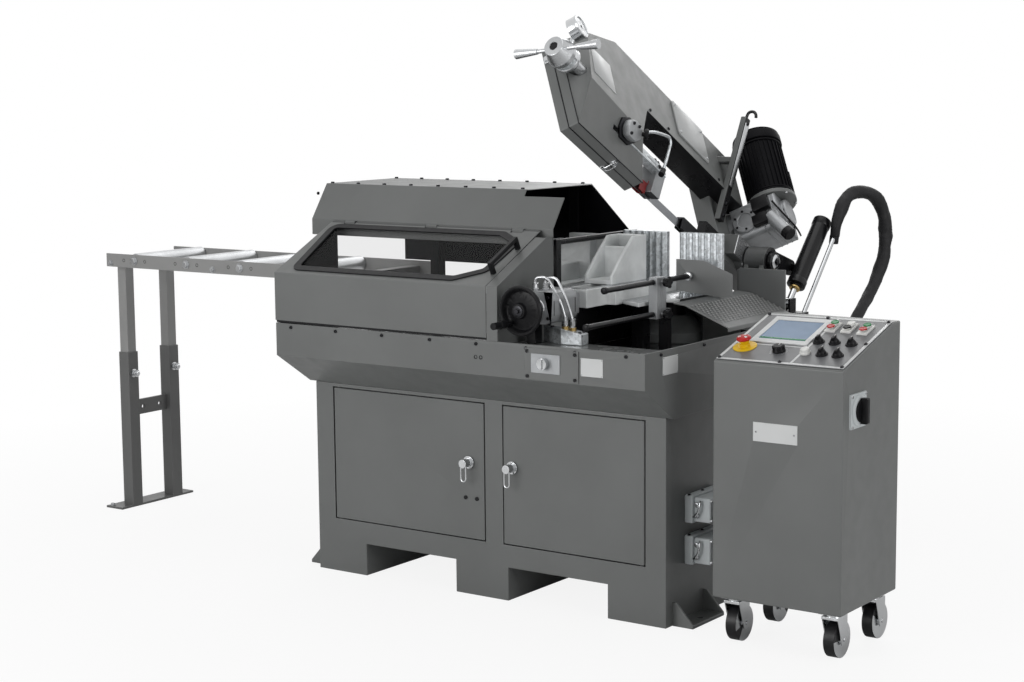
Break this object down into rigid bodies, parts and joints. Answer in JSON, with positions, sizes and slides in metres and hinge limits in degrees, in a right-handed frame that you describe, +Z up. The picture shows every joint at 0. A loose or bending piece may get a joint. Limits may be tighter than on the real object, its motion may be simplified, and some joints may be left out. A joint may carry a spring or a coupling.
{
  "type": "cnc band saw",
  "caption": "Metal-cutting band saw: cabinet base with chip tray, pivoting saw arm, vise, guarded stock feed, roller table and wheeled control pendant.",
  "frame": {"origin": "on the floor, under the middle of the base cabinet", "axes": "+X to the outfeed side and the pendant, +Y to the back of the machine, +Z up"},
  "size_m": [3.086, 1.5308, 1.6975],
  "materials": {
    "machine_paint": "satin",
    "table_paint": "satin",
    "chute_paint": "satin",
    "vise_casting": "satin",
    "zinc_steel": "brushed",
    "roller_steel": "brushed",
    "bright_steel": "ground",
    "blade_steel": "ground",
    "wheel_iron": "machined",
    "black_steel": "gloss",
    "black_plastic": "satin",
    "red_plastic": "gloss",
    "cylinder_alloy": "satin",
    "chrome_parts": "polished",
    "hose_black": "matte",
    "socket_grey": "satin",
    "panel_grey": "satin",
    "caster_rubber": "matte",
    "window": "clear"
  },
  "bodies": {
    "machine": {"base_cabinet": "machine_paint", "chip_tray": "machine_paint", "power_sockets": "socket_grey", "feed_hood": "machine_paint", "vise_bed": "vise_casting", "fixed_jaws": "zinc_steel", "vise_hydraulics": "cylinder_alloy", "discharge_chute": "chute_paint", "guide_bracket": "black_steel", "feed_rails": "bright_steel", "table_frame": "table_paint", "pivot_stand": "machine_paint", "cable_hose": "hose_black", "socket_cables": "hose_black", "pendant_cabinet": "machine_paint", "control_panel": "panel_grey"},
    "guard": {"feed_guard": "machine_paint", "guard_window": "window"},
    "arm": {"saw_frame": "machine_paint", "saw_blade": "blade_steel", "tension_unit": "cylinder_alloy", "gearbox": "cylinder_alloy", "drive_motor": "black_steel"},
    "left_door": {"left_door": "machine_paint"},
    "right_door": {"right_door": "machine_paint"},
    "left_door_latch": {"left_door_latch": "chrome_parts"},
    "right_door_latch": {"right_door_latch": "chrome_parts"},
    "valve_knob": {"valve_knob": "cylinder_alloy"},
    "vise_handwheel": {"vise_handwheel": "black_plastic"},
    "vise_jaw": {"vise_jaw": "vise_casting"},
    "feed_carriage": {"feed_carriage": "vise_casting"},
    "chute_guide": {"chute_guide": "chute_paint"},
    "table_stand": {"table_stand": "table_paint"},
    "table_roller_1": {"table_roller_1": "roller_steel"},
    "table_roller_2": {"table_roller_2": "roller_steel"},
    "table_roller_3": {"table_roller_3": "roller_steel"},
    "table_roller_4": {"table_roller_4": "roller_steel"},
    "lift_rod": {"lift_rod": "chrome_parts"},
    "lift_cylinder": {"lift_cylinder": "black_steel"},
    "wheel_cover": {"wheel_cover": "machine_paint"},
    "drive_wheel": {"drive_wheel": "wheel_iron"},
    "idler_wheel": {"idler_wheel": "wheel_iron"},
    "guide_arm": {"guide_arm": "bright_steel"},
    "tension_handle": {"tension_handle": "cylinder_alloy"},
    "estop_button": {"estop_button": "red_plastic"},
    "main_switch": {"main_switch": "black_plastic"},
    "speed_knob": {"speed_knob": "black_plastic"},
    "selector_1": {"selector_1": "black_plastic"},
    "selector_2": {"selector_2": "black_plastic"},
    "selector_3": {"selector_3": "black_plastic"},
    "selector_4": {"selector_4": "black_plastic"},
    "selector_5": {"selector_5": "black_plastic"},
    "twin_button_1": {"twin_button_1": "red_plastic"},
    "twin_button_2": {"twin_button_2": "red_plastic"},
    "twin_button_3": {"twin_button_3": "red_plastic"},
    "front_left_fork": {"front_left_fork": "chrome_parts"},
    "front_left_wheel": {"front_left_wheel": "caster_rubber"},
    "front_right_fork": {"front_right_fork": "chrome_parts"},
    "front_right_wheel": {"front_right_wheel": "caster_rubber"},
    "rear_wheels": {"rear_wheels": "caster_rubber"}
  },
  "joints": [
    {"name": "left_door_hinge", "type": "hinge", "parent": "machine", "child": "left_door", "pos_m": [-0.548, -0.39, 0.376], "axis": [0, 0, -1], "range_deg": [0, 110]},
    {"name": "right_door_hinge", "type": "hinge", "parent": "machine", "child": "right_door", "pos_m": [0.55, -0.39, 0.376], "axis": [0, 0, 1], "range_deg": [0, 110]},
    {"name": "left_latch_turn", "type": "hinge", "parent": "left_door", "child": "left_door_latch", "pos_m": [-0.042, -0.4, 0.402], "axis": [0, 1, 0], "range_deg": [0, 90]},
    {"name": "right_latch_turn", "type": "hinge", "parent": "right_door", "child": "right_door_latch", "pos_m": [0.115, -0.4, 0.402], "axis": [0, -1, 0], "range_deg": [0, 90]},
    {"name": "feed_guard_hinge", "type": "hinge", "parent": "machine", "child": "guard", "pos_m": [-0.2625, -0.276, 1.083], "axis": [-1, 0, 0], "range_deg": [0, 75]},
    {"name": "valve_turn", "type": "hinge", "parent": "machine", "child": "valve_knob", "pos_m": [0.339, -0.56, 0.746], "axis": [0, -1, 0], "range_deg": [0, 270]},
    {"name": "vise_screw", "type": "hinge", "parent": "machine", "child": "vise_handwheel", "pos_m": [0.255, -0.55, 0.887], "axis": [0, 1, 0], "range_deg": [-2880, 1620]},
    {"name": "vise_jaw_slide", "type": "slide", "parent": "machine", "child": "vise_jaw", "axis": [0, 1, 0], "range_m": [-0.0805, 0.0455]},
    {"name": "feed_slide", "type": "slide", "parent": "machine", "child": "feed_carriage", "axis": [-1, 0, 0], "range_m": [0, 0.45]},
    {"name": "chute_guide_slide", "type": "slide", "parent": "machine", "child": "chute_guide", "axis": [0, 1, 0], "range_m": [-0.1, 0.02]},
    {"name": "table_height", "type": "slide", "parent": "machine", "child": "table_stand", "axis": [0, 0, 1], "range_m": [0, 0.12]},
    {"name": "roller_1_spin", "type": "hinge", "parent": "machine", "child": "table_roller_1", "pos_m": [-1.685, 0.022, 0.902], "axis": [0, 1, 0], "continuous": true},
    {"name": "roller_2_spin", "type": "hinge", "parent": "machine", "child": "table_roller_2", "pos_m": [-1.433, 0.022, 0.902], "axis": [0, 1, 0], "continuous": true},
    {"name": "roller_3_spin", "type": "hinge", "parent": "machine", "child": "table_roller_3", "pos_m": [-1.183, 0.022, 0.902], "axis": [0, 1, 0], "continuous": true},
    {"name": "roller_4_spin", "type": "hinge", "parent": "machine", "child": "table_roller_4", "pos_m": [-0.933, 0.022, 0.902], "axis": [0, 1, 0], "continuous": true},
    {"name": "arm_lift", "type": "hinge", "parent": "machine", "child": "arm", "pos_m": [0.464, 0.46, 0.9527], "axis": [1, 0, 0], "range_deg": [0, 28.5]},
    {"name": "lift_rod_swing", "type": "hinge", "parent": "machine", "child": "lift_rod", "pos_m": [0.555, 0.473, 0.822], "axis": [1, 0, 0], "range_deg": [-0.1, 12.3]},
    {"name": "lift_stroke", "type": "slide", "parent": "lift_rod", "child": "lift_cylinder", "axis": [0, 0.693, 0.721], "range_m": [-0.0005, 0.0455]},
    {"name": "wheel_cover_hinge", "type": "hinge", "parent": "arm", "child": "wheel_cover", "pos_m": [0.20098, -0.15966, 1.5928], "axis": [0, -0.8788, 0.4772], "range_deg": [-100, 0]},
    {"name": "drive_spin", "type": "hinge", "parent": "arm", "child": "drive_wheel", "pos_m": [0.29429, 0.56011, 1.00715], "axis": [-0.8829, -0.224, -0.4126], "continuous": true},
    {"name": "idler_spin", "type": "hinge", "parent": "arm", "child": "idler_wheel", "pos_m": [0.29429, -0.27037, 1.45807], "axis": [-0.8829, -0.224, -0.4126], "continuous": true},
    {"name": "guide_arm_slide", "type": "slide", "parent": "arm", "child": "guide_arm", "axis": [0, -0.8788, 0.4772], "range_m": [-0.14, 0.02]},
    {"name": "tension_turn", "type": "hinge", "parent": "arm", "child": "tension_handle", "pos_m": [0.33974, -0.48415, 1.60293], "axis": [0, -0.8788, 0.4772], "range_deg": [-720, 720]},
    {"name": "estop_press", "type": "slide", "parent": "machine", "child": "estop_button", "axis": [0, 0.293, -0.9561], "range_m": [0, 0.005], "stiffness_N_per_m": 800},
    {"name": "main_switch_turn", "type": "hinge", "parent": "machine", "child": "main_switch", "pos_m": [1.191, -0.368, 0.666], "axis": [1, 0, 0], "range_deg": [0, 90]},
    {"name": "speed_turn", "type": "hinge", "parent": "machine", "child": "speed_knob", "pos_m": [0.965, -0.37349, 0.81129], "axis": [0, -0.293, 0.9561], "range_deg": [-135, 135]},
    {"name": "selector_1_turn", "type": "hinge", "parent": "machine", "child": "selector_1", "pos_m": [1.046, -0.30273, 0.83298], "axis": [0, -0.293, 0.9561], "range_deg": [-45, 45]},
    {"name": "selector_2_turn", "type": "hinge", "parent": "machine", "child": "selector_2", "pos_m": [1.092, -0.30178, 0.83327], "axis": [0, -0.293, 0.9561], "range_deg": [-45, 45]},
    {"name": "selector_3_turn", "type": "hinge", "parent": "machine", "child": "selector_3", "pos_m": [1.141, -0.30273, 0.83298], "axis": [0, -0.293, 0.9561], "range_deg": [-45, 45]},
    {"name": "selector_4_turn", "type": "hinge", "parent": "machine", "child": "selector_4", "pos_m": [1.09, -0.37349, 0.81129], "axis": [0, -0.293, 0.9561], "range_deg": [-45, 45]},
    {"name": "selector_5_turn", "type": "hinge", "parent": "machine", "child": "selector_5", "pos_m": [1.136, -0.37349, 0.81129], "axis": [0, -0.293, 0.9561], "range_deg": [-45, 45]},
    {"name": "twin_button_1_press", "type": "slide", "parent": "machine", "child": "twin_button_1", "axis": [0, 0.293, -0.9561], "range_m": [0, 0.003], "stiffness_N_per_m": 600},
    {"name": "twin_button_2_press", "type": "slide", "parent": "machine", "child": "twin_button_2", "axis": [0, 0.293, -0.9561], "range_m": [0, 0.003], "stiffness_N_per_m": 600},
    {"name": "twin_button_3_press", "type": "slide", "parent": "machine", "child": "twin_button_3", "axis": [0, 0.293, -0.9561], "range_m": [0, 0.003], "stiffness_N_per_m": 600},
    {"name": "front_left_swivel", "type": "hinge", "parent": "machine", "child": "front_left_fork", "pos_m": [0.854, -0.398, 0.118], "axis": [0, 0, 1], "continuous": true},
    {"name": "front_left_roll", "type": "hinge", "parent": "front_left_fork", "child": "front_left_wheel", "pos_m": [0.854, -0.376, 0.05], "axis": [1, 0, 0], "continuous": true},
    {"name": "front_right_swivel", "type": "hinge", "parent": "machine", "child": "front_right_fork", "pos_m": [1.146, -0.398, 0.118], "axis": [0, 0, 1], "continuous": true},
    {"name": "front_right_roll", "type": "hinge", "parent": "front_right_fork", "child": "front_right_wheel", "pos_m": [1.146, -0.376, 0.05], "axis": [1, 0, 0], "continuous": true},
    {"name": "rear_roll", "type": "hinge", "parent": "machine", "child": "rear_wheels", "pos_m": [1, -0.152, 0.05], "axis": [1, 0, 0], "continuous": true}
  ],
  "couplings": [
    {"joint": "vise_jaw_slide", "follows": "vise_screw", "m_per_rad": 0.0015915},
    {"joint": "lift_rod_swing", "follows": "arm_lift", "ratio": 0.424},
    {"joint": "lift_stroke", "follows": "arm_lift", "m_per_rad": 0.0899},
    {"joint": "idler_spin", "follows": "drive_spin", "ratio": 1}
  ]
}
